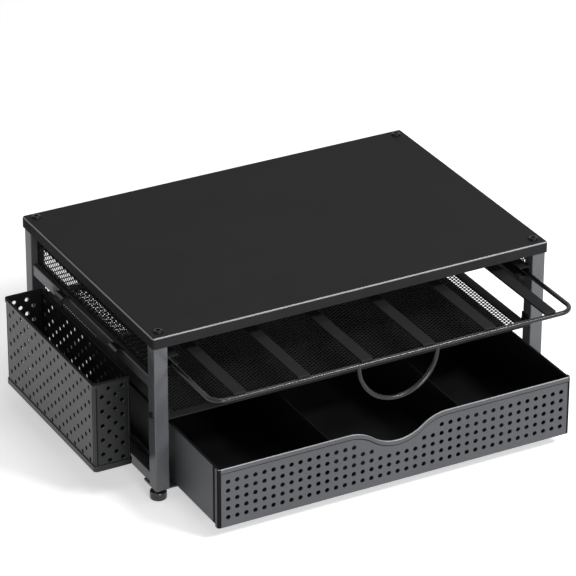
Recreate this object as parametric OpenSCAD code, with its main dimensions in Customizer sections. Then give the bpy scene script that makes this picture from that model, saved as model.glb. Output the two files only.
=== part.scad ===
// Pod drawer stand: a sheet-steel table on four square legs. A wire rack and a perforated
// drawer slide out of it, and a perforated basket hangs on one side.
// Millimetres. +X right, +Y back, +Z up. The counter is at z = 0.
// Modules draw the stand about the middle of its top plate, and from_middle() then puts
// the origin under the middle of everything, basket and pulled-out drawer included.

/* [Top plate] */
// Width of the top plate
top_w = 360; // [350:1:400]
// Depth of the top plate
top_d = 244; // [236:1:270]
// Height of the top plate above the counter
stand_h = 150; // [148:1:170]
// Height of the turned-down rim
rim_h = 10; // [7:0.5:11]
// Thickness of the plate's steel
top_t = 1.2; // [0.8:0.1:1.6]
// Outer radius of the plate's bends
top_bend = 2; // [1.8:0.1:3]
// Distance of a corner screw from the plate's edges
top_screw_inset = 9; // [8.6:0.1:9.4]

/* [Frame] */
// Outer size of a leg's square tube
leg_s = 12; // [11:0.5:14]
// Wall of the legs' tube
leg_wall = 1; // [0.8:0.1:1.2]
// Outer size of a rail's square tube
rail_s = 10; // [9:0.5:11]
// Wall of the rails' tube
rail_wall = 1; // [0.8:0.1:1.2]
// Rounding of the tubes' edges
tube_edge = 0.8; // [0.5:0.1:1]
// Gap between a leg and the plate's rim
leg_clear = 0.3; // [0.2:0.05:0.5]
// Height of the middle rails' underside
mid_rail_z = 100; // [96:1:108]

/* [Side mesh] */
// Thickness of the expanded mesh
mesh_t = 1; // [0.8:0.1:1.5]
// Length of one diamond of the side mesh
mesh_long = 9; // [8:0.5:14]
// Height of one diamond of the side mesh
mesh_short = 5.2; // [4.8:0.1:8]
// Width of the side mesh's strands
mesh_strand = 1; // [0.8:0.1:1.2]
// Solid edge round each mesh
mesh_edge = 1.2; // [1:0.1:2]

/* [Feet] */
// Diameter of a foot's pad
foot_d = 14; // [12:0.5:16]
// Height of a foot's pad
foot_h = 9; // [7:0.5:9.5]
// Stud showing between a pad and its plate
foot_neck = 2; // [1.5:0.1:2.5]
// Rounding of a pad's edges
foot_edge = 1.5; // [0.8:0.1:2]
// Diameter of a foot's stud
stud_d = 4; // [3:0.5:4.5]
// Length of a stud above its plate
stud_grip = 7; // [6:0.5:10]
// Running clearance round a stud
stud_clear = 0.05; // [0.02:0.01:0.1]
// Distance of a foot's middle behind the leg's face
foot_inset = 8.5; // [8.4:0.1:8.8]
// Thickness of the foot plates
foot_plate_t = 2; // [1.5:0.1:2.5]
// Length of the foot plates
foot_plate_l = 22; // [20:0.5:26]

/* [Shelf] */
// Height of the shelf's upper face
shelf_z = 75; // [72:0.5:78]
// Thickness of the shelf's steel
shelf_t = 1.2; // [1:0.1:1.5]
// Width of the shelf's solid border
shelf_border = 8.5; // [7:0.5:12]
// Length of one diamond of the shelf mesh
shelf_mesh_long = 28; // [24:1:36]
// Width of one diamond of the shelf mesh
shelf_mesh_short = 16; // [14:1:20]
// Width of the shelf mesh's strands
shelf_strand = 2; // [1.5:0.1:2.5]
// Height of the shelf's screw tabs
shelf_tab_h = 9; // [8:0.5:10]
// Height of the tab screws above the shelf's underside
shelf_screw_up = 4.5; // [4:0.1:5]

/* [Screws] */
// Diameter of the top screws
top_screw_d = 4; // [3:0.5:4.5]
// Head diameter of the top screws
top_head_d = 8; // [7:0.5:11]
// Head height of the top screws
top_head_h = 2; // [1.6:0.1:2.6]
// Length of the top screws under the head
top_screw_l = 9; // [7:0.5:12]
// Diameter of the shelf screws
side_screw_d = 3; // [2.5:0.5:3.5]
// Head diameter of the shelf screws
side_head_d = 6; // [5:0.5:6.5]
// Head height of the shelf screws
side_head_h = 1.4; // [1:0.1:1.5]
// Thickness of the shelf screws' nuts
nut_h = 2.4; // [2:0.1:3]
// Width of the nuts across their corners
nut_d = 6.2; // [5.8:0.1:6.6]
// Width of a hex socket as a share of its screw's head
socket_share = 0.45; // [0.35:0.01:0.55]
// Clearance round a screw's shank
screw_clear = 0.1; // [0.05:0.05:0.2]
// Height of the threaded plugs in the legs' tops
plug_h = 8; // [6:0.5:12]

/* [Wire rack] */
// Height of the rack rails' underside
rack_rail_z = 119.5; // [112:0.5:122]
// Height of a rack rail
rack_rail_h = 9.5; // [9:0.5:11]
// Width of a rack rail's flanges
rack_flange = 10.5; // [9:0.5:12]
// Thickness of the channels' steel
channel_t = 1.2; // [0.8:0.1:1.4]
// Distance of the channels' ends behind the legs' faces
channel_inset = 2.5; // [1.5:0.1:4]
// Running clearance under and beside what slides
run_clear = 0.3; // [0.2:0.05:0.5]
// Clearance behind the rack and the drawer when they are closed
back_clear = 1; // [0.5:0.1:1.5]
// How far the rack stands out of the stand
rack_out = 71.3; // [0:0.1:100]
// Diameter of the rack's wire
wire_d = 4; // [3:0.1:4.5]
// Bend radius of the rack's corners
wire_bend = 12; // [8:0.5:16]
// Gap between two strips, where a pod hangs
lane_gap = 45.5; // [44:0.5:46.5]
// Width of a strip
strip_w = 10.5; // [8:0.5:10.5]
// Thickness of a strip
strip_t = 2; // [1.5:0.1:2.2]
// Radius of the rack's handle
handle_r = 35.5; // [28:0.5:40]
// Straight end of the handle above its half round
handle_stub = 1; // [0.5:0.5:6]
// Gap left for the weld between two wires
weld_gap = 0.03; // [0.02:0.01:0.05]

/* [Drawer] */
// How far the drawer stands out of the stand
drawer_out = 71.7; // [0:0.1:100]
// Gap between each side of the drawer and the legs
drawer_side_gap = 5.5; // [5:0.5:12]
// Height of the drawer's front
front_h = 52.5; // [50:0.5:54]
// Thickness of the drawer's steel
drawer_t = 1; // [0.8:0.1:1.2]
// Outer radius of the drawer's bends
drawer_bend = 2.5; // [2:0.1:4]
// Length of the front's side returns, bends included
return_l = 5; // [4:0.5:14]
// Height of the raised band along the front's top edge
band_h = 3.5; // [3:0.1:5]
// How far the band stands proud
band_t = 0.5; // [0.3:0.1:0.8]
// Half the width of the finger scoop
scoop_half_w = 45; // [36:1:52]
// Depth of the finger scoop
scoop_h = 15.5; // [12:0.5:18]
// Height of the side walls below the front's top edge
wall_drop = 0; // [0:0.5:4]
// Height of the walls' folded hem
hem_h = 5; // [4:0.5:7]
// Diameter of the front's holes
hole_d = 4; // [3:0.1:4.6]
// Spacing of the front's holes
hole_pitch = 8; // [7.5:0.1:10]
// Plain margin beside and under the front's holes
hole_margin = 8; // [7:0.5:12]
// Least height of the front's edge above the middle of a hole
hole_edge = 10; // [8:0.5:12]
// Distance of a divider from the drawer's middle
divider_x = 59; // [52:0.5:66]
// Height of the dividers below the walls' top edge
divider_drop = 3; // [1:0.5:6]
// Width of a divider's foot
divider_foot = 8; // [6:0.5:12]
// Gap between a divider's ends and the tray
divider_gap = 0.5; // [0.3:0.1:1]

/* [Drawer runners] */
// Height of a runner's web
runner_h = 16.5; // [12:0.5:20]
// Height of a runner's underside above the counter
runner_z = 9.5; // [9.3:0.1:10.5]
// Width of a runner's flange
runner_flange = 16; // [12:0.5:20]

/* [Basket] */
// Length of the basket, front to back
basket_l = 169; // [150:1:190]
// Depth of the basket, out from the stand
basket_w = 34; // [30:0.5:44]
// Height of the basket
basket_h = 80; // [70:1:84]
// Height of the basket's underside above the counter
basket_z = 22; // [18:0.5:24]
// How far the basket's middle lies in front of the stand's
basket_forward = 3.2; // [0:0.1:8]
// Gap between the basket and the stand's legs
basket_gap = 4; // [3.4:0.1:5]
// Thickness of the basket's steel
basket_t = 1; // [0.8:0.1:1.2]
// Outer radius of the basket's upright corners
basket_corner = 3; // [2.5:0.5:6]
// Thickness of the rim and the floor's turned-up edge
edge_t = 0.8; // [0.6:0.1:1]
// Height of the rim
basket_rim_h = 4; // [3:0.5:5]
// Height of the floor's turned-up edge
basket_band_h = 5; // [4:0.5:6]
// Diameter of the basket's holes
basket_hole_d = 3.6; // [3:0.1:4]
// Spacing of the hole columns on the long walls
basket_pitch = 7.15; // [6.5:0.05:9]
// Spacing of the hole columns on the end walls
basket_end_pitch = 5.8; // [5.5:0.05:8]
// Spacing of the holes up a column
basket_step = 13; // [11:0.5:15]
// Least distance from a long wall's end to the middle of a hole
basket_margin = 4; // [3:0.5:7]
// Least distance from an end wall's edge, the rim or the floor's edge to the middle of a hole
basket_end_margin = 2.4; // [2.2:0.1:5]

/* [Basket hooks] */
// Thickness of a hook
hook_t = 1.2; // [1:0.1:1.4]
// Width of a hook
hook_w = 14; // [10:0.5:18]
// Distance of a hook from the basket's middle
hook_y = 50; // [40:1:60]
// Length of a hook down the basket's wall
hook_leaf = 24; // [18:1:30]
// Length of a hook's tongue in its slot
hook_tongue = 8; // [6:0.5:8.5]
// Clearance round a tongue in its slot
slot_clear = 0.4; // [0.3:0.05:0.5]
// Height of a hook's arm above the rail
hook_seat = 0.3; // [0.2:0.05:0.4]

/* [Hidden] */
$fn = 48;
LEFT = -1;
RIGHT = 1;
FRONT = -1;
REAR = 1;
// Overshoot of a cutting solid past the face it cuts
CUT = 1;

// Frame
under_plate_z = stand_h - top_t;
rim_inner_x = top_w / 2 - top_t;
rim_inner_y = top_d / 2 - top_t;
leg_outer_x = rim_inner_x - leg_clear;
leg_outer_y = rim_inner_y - leg_clear;
leg_inner_x = leg_outer_x - leg_s;
leg_inner_y = leg_outer_y - leg_s;
leg_x = leg_outer_x - leg_s / 2;
leg_y = leg_outer_y - leg_s / 2;
foot_plate_z = foot_h + foot_neck;
leg_z = foot_plate_z + foot_plate_t;
top_screw_x = top_w / 2 - top_screw_inset;
top_screw_y = top_d / 2 - top_screw_inset;
foot_y = leg_outer_y - foot_inset;
top_rail_z = under_plate_z - rail_s;
side_mesh_z = mid_rail_z + rail_s;
side_mesh_h = top_rail_z - side_mesh_z;

// Shelf
shelf_under_z = shelf_z - shelf_t;
shelf_front_y = leg_outer_y - leg_clear;
shelf_screw_z = shelf_under_z + shelf_screw_up;
shelf_open_w = 2 * (leg_inner_x - shelf_border);
shelf_open_d = 2 * (shelf_front_y - shelf_border);

// Channels and what slides in them
channel_y = leg_outer_y - channel_inset;
runner_top_z = runner_z + channel_t;
stop_y = channel_y - channel_t;
crossbar_y = leg_outer_y - rail_s;
wire_r = wire_d / 2;
wire_z = rack_rail_z + channel_t + run_clear + wire_r;
wire_x = leg_inner_x - channel_t - run_clear - wire_r;
rack_l = stop_y - back_clear + top_d / 2;
rack_front_y = -top_d / 2 - rack_out;
wire_front_y = rack_front_y + wire_r;
wire_rear_y = rack_front_y + rack_l - wire_r;
strip_pitch = lane_gap + strip_w;
strip_x = [for (i = [0 : 5]) (i - 2.5) * strip_pitch];
handle_z = wire_z - handle_stub;

// Drawer
drawer_w = 2 * (leg_inner_x - drawer_side_gap);
drawer_front_y = -top_d / 2 - drawer_out;
drawer_l = crossbar_y - back_clear + top_d / 2;
drawer_rear_y = drawer_front_y + drawer_l;
front_inner_y = drawer_front_y + drawer_t;
tray_z = runner_top_z + run_clear;
front_top_z = tray_z + front_h;
tray_w = drawer_w - 2 * drawer_t;
tray_top_z = front_top_z - wall_drop;
floor_top_z = tray_z + drawer_t;
// The scoop's edge is two pairs of equal arcs that meet halfway. The shoulders' arcs are
// raised a hair, so that they cross the arc below and the top edge at a clean corner.
scoop_r = (pow(scoop_half_w, 2) + pow(scoop_h, 2)) / (4 * scoop_h);
shoulder_lift = 0.02;
shoulder_z = front_top_z - scoop_r + shoulder_lift;
hole_columns = floor((drawer_w / 2 - hole_margin) / hole_pitch);
hole_rows = floor((front_h - band_h - 2 * hole_margin) / hole_pitch);
hole_mid_z = tray_z + (front_h - band_h) / 2;

// Basket
basket_inner_x = -leg_outer_x - basket_gap;
basket_outer_x = basket_inner_x - basket_w;
basket_y = -basket_forward;
basket_top_z = basket_z + basket_h;
wall_x_out = basket_outer_x + edge_t;
wall_x_in = basket_inner_x - edge_t;
wall_y_half = basket_l / 2 - edge_t;
wall_corner = basket_corner - edge_t;
wall_top_z = basket_top_z - basket_t;
hook_arm_z = mid_rail_z + rail_s + hook_seat;
slot_w = hook_t + 2 * slot_clear;
slot_x = leg_x + rail_s / 2 - rail_wall - slot_w / 2;
slot_l = hook_w + 2 * slot_clear;

// Origin under the middle of the whole thing as it stands
front_most_y = min(drawer_front_y - band_t, rack_front_y);
middle_x = (top_w / 2 + basket_outer_x) / 2;
middle_y = (top_d / 2 + front_most_y) / 2;

steel_black = "#2b2b2c";
satin_black = "#3a3b3c";
screw_black = "#1d1d1e";
foot_grey = "#6f7072";

module from_middle() {
    translate([-middle_x, -middle_y, 0]) children();
}

// A block given by its lowest and highest corners
module block(low, high) {
    translate(low) cube(high - low);
}

module rounded_rect(w, d, r) {
    square([w - 2 * r, d], center = true);
    square([w, d - 2 * r], center = true);
    for (x = [-1, 1], y = [-1, 1]) {
        translate([x * (w / 2 - r), y * (d / 2 - r)]) circle(r);
    }
}

// Upright square tube, middle of its foot at the origin
module square_tube(s, wall, l) {
    linear_extrude(l) difference() {
        rounded_rect(s, s, tube_edge);
        square(s - 2 * wall, center = true);
    }
}

module tube_along_y(s, wall, l) {
    translate([0, -l / 2, 0]) rotate([-90, 0, 0]) square_tube(s, wall, l);
}

module rod_along_x(r, l) {
    rotate([0, 90, 0]) cylinder(r = r, h = l, center = true);
}

module rod_along_y(r, l) {
    rotate([90, 0, 0]) cylinder(r = r, h = l, center = true);
}

module at_corners(x, y) {
    for (i = [LEFT, RIGHT], j = [FRONT, REAR]) {
        translate([i * x, j * y, 0]) children();
    }
}

// ---- Expanded mesh ----

// Flat diamond mesh in the XY plane, its middle at the origin: one sheet with staggered
// openings and a plain edge
module mesh_sheet(w, h, long, short, strand, edge) {
    // What the strands leave of a diamond
    open = 1 - strand * sqrt(1 / pow(long, 2) + 1 / pow(short, 2));
    half_l = open * long / 2;
    half_s = open * short / 2;
    columns = floor((w / 2 - edge - half_l) / (long / 2));
    rows = floor((h / 2 - edge - half_s) / (short / 2));
    difference() {
        cube([w, h, mesh_t], center = true);
        for (i = [-columns : columns], j = [-rows : rows]) {
            if (abs(i + j) % 2 == 0) {
                translate([i * long / 2, j * short / 2, 0])
                    linear_extrude(2 * mesh_t, center = true)
                    polygon([[-half_l, 0], [0, -half_s], [half_l, 0], [0, half_s]]);
            }
        }
    }
}

module side_mesh(side) {
    color(steel_black) from_middle()
    translate([side * leg_x, 0, side_mesh_z + side_mesh_h / 2])
    rotate([90, 0, 90])
    mesh_sheet(2 * leg_inner_y, side_mesh_h, mesh_long, mesh_short, mesh_strand, mesh_edge);
}

// ---- Top plate ----

// A slab with round upright corners and a round upper edge, standing on z = 0
module round_topped_slab(w, d, h, r) {
    side = h - r;
    translate([0, 0, side / 2]) cube([w - 2 * r, d, side], center = true);
    translate([0, 0, side / 2]) cube([w, d - 2 * r, side], center = true);
    translate([0, 0, h / 2]) cube([w - 2 * r, d - 2 * r, h], center = true);
    for (x = [-1, 1]) {
        translate([x * (w / 2 - r), 0, side]) rod_along_y(r, d - 2 * r);
        for (y = [-1, 1]) {
            translate([x * (w / 2 - r), y * (d / 2 - r), 0]) cylinder(r = r, h = side);
            translate([x * (w / 2 - r), y * (d / 2 - r), side]) sphere(r);
        }
    }
    for (y = [-1, 1]) {
        translate([0, y * (d / 2 - r), side]) rod_along_x(r, w - 2 * r);
    }
}

module top_plate() {
    inner_r = top_bend - top_t;
    color(steel_black) from_middle() difference() {
        translate([0, 0, stand_h - rim_h]) round_topped_slab(top_w, top_d, rim_h, top_bend);
        translate([0, 0, stand_h - rim_h - CUT])
            linear_extrude(rim_h - top_t + CUT)
            rounded_rect(2 * rim_inner_x, 2 * rim_inner_y, inner_r);
        at_corners(top_screw_x, top_screw_y)
            translate([0, 0, under_plate_z - CUT])
            cylinder(r = top_screw_d / 2 + screw_clear, h = top_t + 2 * CUT);
    }
}

// Low domed head with a hex socket, its seat on z = 0
module screw_head(d, h) {
    dome_r = (pow(d / 2, 2) + pow(h / 2, 2)) / h;
    difference() {
        intersection() {
            cylinder(d = d, h = h);
            translate([0, 0, h - dome_r]) sphere(dome_r);
        }
        translate([0, 0, h / 2]) cylinder(d = d * socket_share, h = h, $fn = 6);
    }
}

module top_screws() {
    color(screw_black) from_middle() at_corners(top_screw_x, top_screw_y) {
        translate([0, 0, stand_h]) screw_head(top_head_d, top_head_h);
        translate([0, 0, stand_h - top_screw_l]) cylinder(d = top_screw_d, h = top_screw_l);
    }
}

// Threaded plugs pressed into the legs' tops
module leg_plugs() {
    plug_s = leg_s - 2 * leg_wall;
    color(screw_black) from_middle() difference() {
        at_corners(leg_x, leg_y)
            translate([0, 0, under_plate_z - plug_h / 2])
            cube([plug_s, plug_s, plug_h], center = true);
        at_corners(top_screw_x, top_screw_y)
            translate([0, 0, under_plate_z - plug_h - CUT])
            cylinder(r = top_screw_d / 2 + stud_clear, h = plug_h + 2 * CUT);
    }
}

// ---- Legs and rails ----

module leg(side, end) {
    color(satin_black) from_middle() difference() {
        translate([side * leg_x, end * leg_y, leg_z])
            square_tube(leg_s, leg_wall, under_plate_z - leg_z);
        translate([side * leg_x, end * leg_y, shelf_screw_z])
            rod_along_x(side_screw_d / 2 + screw_clear, leg_s + 2 * CUT);
    }
}

module side_rail(side, z) {
    translate([side * leg_x, 0, z + rail_s / 2])
        tube_along_y(rail_s, rail_wall, 2 * leg_inner_y);
}

module top_rail(side) {
    color(satin_black) from_middle() side_rail(side, top_rail_z);
}

// The middle rail has two slots in its top, where the basket's hooks drop in
module mid_rail(side) {
    color(satin_black) from_middle() difference() {
        side_rail(side, mid_rail_z);
        for (end = [FRONT, REAR]) {
            translate([side * slot_x, basket_y + end * hook_y, mid_rail_z + rail_s])
                cube([slot_w, slot_l, 3 * rail_wall], center = true);
        }
    }
}

module bottom_rail(side) {
    color(satin_black) from_middle() side_rail(side, leg_z);
}

// Ties the rear legs together and stops the drawer
module rear_crossbar() {
    bar_l = 2 * (leg_inner_x - channel_t);
    color(satin_black) from_middle()
        translate([-bar_l / 2, crossbar_y + rail_s / 2, runner_top_z + rail_s / 2])
        rotate([0, 90, 0]) square_tube(rail_s, rail_wall, bar_l);
}

// ---- Feet ----

// Plates welded under the legs, each with the threaded hole for a foot
module foot_plates() {
    color(satin_black) from_middle() difference() {
        at_corners(leg_x, leg_outer_y - foot_plate_l / 2)
            translate([0, 0, foot_plate_z + foot_plate_t / 2])
            cube([leg_s, foot_plate_l, foot_plate_t], center = true);
        at_corners(leg_x, foot_y)
            translate([0, 0, foot_plate_z - CUT])
            cylinder(r = stud_d / 2 + stud_clear, h = foot_plate_t + 2 * CUT);
    }
}

// Round pad moulded on a steel stud
module foot(side, end) {
    pad_r = foot_d / 2;
    color(foot_grey) from_middle() translate([side * leg_x, end * foot_y, 0]) {
        rotate_extrude() {
            square([pad_r - foot_edge, foot_h]);
            translate([0, foot_edge]) square([pad_r, foot_h - 2 * foot_edge]);
            for (z = [foot_edge, foot_h - foot_edge]) {
                translate([pad_r - foot_edge, z]) circle(foot_edge);
            }
        }
        translate([0, 0, foot_h])
            cylinder(d = stud_d, h = foot_neck + foot_plate_t + stud_grip);
    }
}

// ---- Shelf ----

// Sheet border with a tab at each end of its front and rear, held to the legs by screws
module shelf_frame() {
    tab_w = leg_s;
    color(steel_black) from_middle() difference() {
        union() {
            block([-leg_inner_x, -shelf_front_y, shelf_under_z],
                  [leg_inner_x, shelf_front_y, shelf_z]);
            for (i = [LEFT, RIGHT], j = [FRONT, REAR]) {
                translate([i * (leg_inner_x - shelf_t / 2), j * leg_y,
                           shelf_under_z + shelf_tab_h / 2])
                    cube([shelf_t, tab_w, shelf_tab_h], center = true);
            }
        }
        translate([0, 0, shelf_z])
            cube([shelf_open_w, shelf_open_d, 3 * shelf_t], center = true);
        at_corners(leg_inner_x, leg_y)
            translate([0, 0, shelf_screw_z])
            rod_along_x(side_screw_d / 2 + screw_clear, 4 * shelf_t);
    }
}

module shelf_mesh() {
    color(steel_black) from_middle() translate([0, 0, shelf_under_z - mesh_t / 2])
        rotate(90) mesh_sheet(shelf_open_d + shelf_border, shelf_open_w + shelf_border,
            shelf_mesh_long, shelf_mesh_short, shelf_strand, shelf_border / 2);
}

module side_screw(side) {
    rotate([0, side * 90, 0]) {
        screw_head(side_head_d, side_head_h);
        translate([0, 0, -leg_s - shelf_t - nut_h])
            cylinder(d = side_screw_d, h = leg_s + shelf_t + nut_h);
    }
}

module shelf_screws() {
    color(screw_black) from_middle() for (i = [LEFT, RIGHT], j = [FRONT, REAR]) {
        translate([i * leg_outer_x, j * leg_y, shelf_screw_z]) side_screw(i);
    }
}

module shelf_nuts() {
    color(screw_black) from_middle() for (i = [LEFT, RIGHT], j = [FRONT, REAR]) {
        translate([i * (leg_inner_x - shelf_t - nut_h / 2), j * leg_y, shelf_screw_z])
            rotate([0, 90, 0]) difference() {
                cylinder(d = nut_d, h = nut_h, center = true, $fn = 6);
                cylinder(r = side_screw_d / 2 + stud_clear, h = nut_h + CUT, center = true);
            }
    }
}

// ---- Rack rails and drawer runners ----

// C channel, open towards the middle, with its rear end closed as the rack's stop
module rack_rail(side) {
    web_x = side * (leg_inner_x - channel_t / 2);
    mid_x = side * (leg_inner_x - rack_flange / 2);
    mid_z = rack_rail_z + rack_rail_h / 2;
    flange_z = rack_rail_h / 2 - channel_t / 2;
    color(satin_black) from_middle() {
        translate([web_x, 0, mid_z]) cube([channel_t, 2 * channel_y, rack_rail_h], center = true);
        for (z = [-flange_z, flange_z]) {
            translate([mid_x, 0, mid_z + z])
                cube([rack_flange, 2 * channel_y, channel_t], center = true);
        }
        translate([mid_x, stop_y + channel_t / 2, mid_z])
            cube([rack_flange, channel_t, rack_rail_h], center = true);
    }
}

// L channel that the drawer's floor slides on
module drawer_runner(side) {
    web_x = side * (leg_inner_x - channel_t / 2);
    flange_x = side * (leg_inner_x - runner_flange / 2);
    color(satin_black) from_middle() {
        translate([web_x, 0, runner_z + runner_h / 2])
            cube([channel_t, 2 * channel_y, runner_h], center = true);
        translate([flange_x, 0, runner_z + channel_t / 2])
            cube([runner_flange, 2 * channel_y, channel_t], center = true);
    }
}

// ---- Wire rack ----

module rack_wire() {
    straight_x = 2 * (wire_x - wire_bend);
    straight_y = wire_rear_y - wire_front_y - 2 * wire_bend;
    mid_y = (wire_front_y + wire_rear_y) / 2;
    color(steel_black) from_middle() translate([0, mid_y, wire_z])
    for (side = [LEFT, RIGHT]) {
        translate([side * wire_x, 0, 0]) rod_along_y(wire_r, straight_y);
        translate([0, side * (straight_y / 2 + wire_bend), 0]) rod_along_x(wire_r, straight_x);
        for (end = [FRONT, REAR]) {
            turn = side == RIGHT ? (end == REAR ? 0 : 270) : (end == REAR ? 90 : 180);
            translate([side * straight_x / 2, end * straight_y / 2, 0]) rotate(turn)
                rotate_extrude(angle = 90) translate([wire_bend, 0]) circle(wire_r);
        }
    }
}

// Half-round wire pull under the front rod, its ends coped to the rod
module rack_handle() {
    color(steel_black) from_middle() difference() {
        translate([0, wire_front_y, handle_z]) {
            rotate([90, 0, 0]) rotate([0, 0, 180]) rotate_extrude(angle = 180)
                translate([handle_r, 0]) circle(wire_r);
            for (side = [LEFT, RIGHT]) {
                translate([side * handle_r, 0, 0]) cylinder(r = wire_r, h = handle_stub);
            }
        }
        translate([0, wire_front_y, wire_z])
            rod_along_x(wire_r + weld_gap, 2 * (handle_r + wire_d));
    }
}

// Flat strip on the front and rear rods: the pods hang by their rims between two of them
module rack_strip(number) {
    color(steel_black) from_middle()
        translate([strip_x[number - 1] - strip_w / 2, wire_front_y, wire_z + wire_r])
        cube([strip_w, wire_rear_y - wire_front_y, strip_t]);
}

// ---- Drawer ----

// What the scoop takes out of the front, in x and height
module scoop_cut() {
    difference() {
        union() {
            translate([0, front_top_z - scoop_h + scoop_r]) circle(scoop_r, $fn = 96);
            translate([-scoop_half_w, front_top_z - scoop_h / 2])
                square([2 * scoop_half_w, scoop_h]);
        }
        for (side = [LEFT, RIGHT]) {
            translate([side * scoop_half_w, shoulder_z]) circle(scoop_r, $fn = 96);
        }
    }
}

// Height of the front's upper edge at x, scoop included
function front_edge_z(x) =
    abs(x) >= scoop_half_w ? front_top_z :
    abs(x) >= scoop_half_w / 2 ?
        shoulder_z + sqrt(pow(scoop_r, 2) - pow(abs(x) - scoop_half_w, 2)) :
    front_top_z - scoop_h + scoop_r - sqrt(pow(scoop_r, 2) - pow(x, 2));

// The front's wall and returns in plan
module front_plan() {
    inner_r = drawer_bend - drawer_t;
    intersection() {
        difference() {
            rounded_rect(drawer_w, 2 * (return_l + drawer_bend), drawer_bend);
            rounded_rect(tray_w, 2 * (return_l + drawer_bend - drawer_t), inner_r);
        }
        translate([-drawer_w, -return_l - drawer_bend - CUT])
            square([2 * drawer_w, return_l + CUT]);
    }
}

// The front's flat face between its bends, in x and height
module front_face() {
    translate([-drawer_w / 2 + drawer_bend, tray_z])
        square([drawer_w - 2 * drawer_bend, front_h]);
}

module drawer_front() {
    plan_y = drawer_front_y + return_l + drawer_bend;
    color(satin_black) from_middle() difference() {
        union() {
            translate([0, plan_y, tray_z]) linear_extrude(front_h) front_plan();
            translate([0, drawer_front_y, 0]) rotate([90, 0, 0]) linear_extrude(band_t)
                difference() {
                    front_face();
                    translate([0, -band_h]) difference() {
                        front_face();
                        scoop_cut();
                    }
                }
        }
        translate([0, drawer_front_y + return_l, 0]) rotate([90, 0, 0])
            linear_extrude(2 * return_l) scoop_cut();
        for (i = [-hole_columns : hole_columns], j = [0 : hole_rows]) {
            x = i * hole_pitch;
            z = hole_mid_z + (j - hole_rows / 2) * hole_pitch;
            if (front_edge_z(x) - z >= hole_edge) {
                translate([x, drawer_front_y, z]) rod_along_y(hole_d / 2, 4 * drawer_t);
            }
        }
    }
}

// Folded tray: floor, side walls and rear wall, with the walls' top edges hemmed inwards
module drawer_tray() {
    inner_r = drawer_bend - drawer_t;
    l = drawer_rear_y - front_inner_y;
    inner_w = tray_w - 2 * drawer_t;
    hem_w = inner_w - 2 * drawer_t;
    front_wall = drawer_t + CUT;
    color(satin_black) from_middle() translate([0, front_inner_y, 0]) difference() {
        translate([0, l / 2, tray_z]) linear_extrude(tray_top_z - tray_z)
            rounded_rect(tray_w, l, drawer_bend - drawer_t);
        translate([0, l / 2 - drawer_t, floor_top_z]) linear_extrude(tray_top_z)
            rounded_rect(hem_w, l - 2 * drawer_t, inner_r / 2);
        translate([0, l / 2 - drawer_t, floor_top_z])
            linear_extrude(tray_top_z - hem_h - floor_top_z)
            rounded_rect(inner_w, l, inner_r / 2);
        block([-hem_w / 2, -CUT, floor_top_z], [hem_w / 2, front_wall, tray_top_z + CUT]);
    }
}

// Divider sheet with a flat foot spot-welded to the floor
module drawer_divider(side) {
    low_y = front_inner_y + divider_gap;
    high_y = drawer_rear_y - 2 * drawer_t - divider_gap;
    top_z = tray_top_z - divider_drop;
    x = side * divider_x;
    foot_x = side * (divider_x + divider_foot);
    color(steel_black) from_middle() {
        block([x - drawer_t / 2, low_y, floor_top_z], [x + drawer_t / 2, high_y, top_z]);
        block([min(x, foot_x), low_y, floor_top_z],
              [max(x, foot_x), high_y, floor_top_z + drawer_t]);
    }
}

// ---- Basket ----

// Positions of the staggered holes on a wall of this length, about its middle. The last
// column starts at the bottom, so that a full column stands at the corner.
function basket_holes(l, pitch, margin) =
    let (columns = floor((l - 2 * margin) / pitch),
         h = basket_h - basket_rim_h - basket_band_h,
         rows = floor((h - 2 * basket_end_margin) / (basket_step / 2)))
    [
        for (i = [0 : columns], j = [0 : rows])
            if ((columns - i + j) % 2 == 0)
                [(i - columns / 2) * pitch,
                 basket_z + basket_band_h + h / 2 + (j - rows / 2) * basket_step / 2]
    ];

// Perforated wall of this length, upright in the XZ plane, its outer face towards -Y
module basket_wall(l, pitch, margin) {
    difference() {
        block([-l / 2, 0, basket_z + basket_t], [l / 2, basket_t, wall_top_z]);
        for (p = basket_holes(l, pitch, margin)) {
            translate([p[0], basket_t / 2, p[1]])
                rod_along_y(basket_hole_d / 2, 3 * basket_t);
        }
    }
}

module basket_long_wall(face_x, turn) {
    color(satin_black) from_middle() translate([face_x, basket_y, 0]) rotate(turn)
        basket_wall(2 * (wall_y_half - wall_corner), basket_pitch, basket_margin);
}

module basket_short_wall(end) {
    color(satin_black) from_middle()
        translate([(wall_x_out + wall_x_in) / 2, basket_y + end * wall_y_half, 0])
        rotate(end == FRONT ? 0 : 180)
        basket_wall(wall_x_in - wall_x_out - 2 * wall_corner, basket_end_pitch,
                    basket_end_margin);
}

// Outline of the basket in plan, grown or shrunk by this much all round
module basket_plan(grow) {
    translate([(basket_outer_x + basket_inner_x) / 2, basket_y])
        rounded_rect(basket_w + 2 * grow, basket_l + 2 * grow, basket_corner + grow);
}

// The four bends that join the walls
module basket_corners() {
    inner_r = wall_corner - basket_t;
    color(satin_black) from_middle()
    for (x = [LEFT, RIGHT], y = [FRONT, REAR]) {
        mid_x = x == LEFT ? wall_x_out + wall_corner : wall_x_in - wall_corner;
        turn = x == RIGHT ? (y == REAR ? 0 : 270) : (y == REAR ? 90 : 180);
        translate([mid_x, basket_y + y * (wall_y_half - wall_corner), basket_z + basket_t])
            rotate(turn) rotate_extrude(angle = 90)
            translate([inner_r, 0]) square([basket_t, wall_top_z - basket_z - basket_t]);
    }
}

// Floor with its edge turned up outside the walls
module basket_floor() {
    color(satin_black) from_middle() difference() {
        translate([0, 0, basket_z]) linear_extrude(basket_band_h) basket_plan(0);
        translate([0, 0, basket_z + basket_t]) linear_extrude(basket_band_h)
            basket_plan(-edge_t);
    }
}

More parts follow.
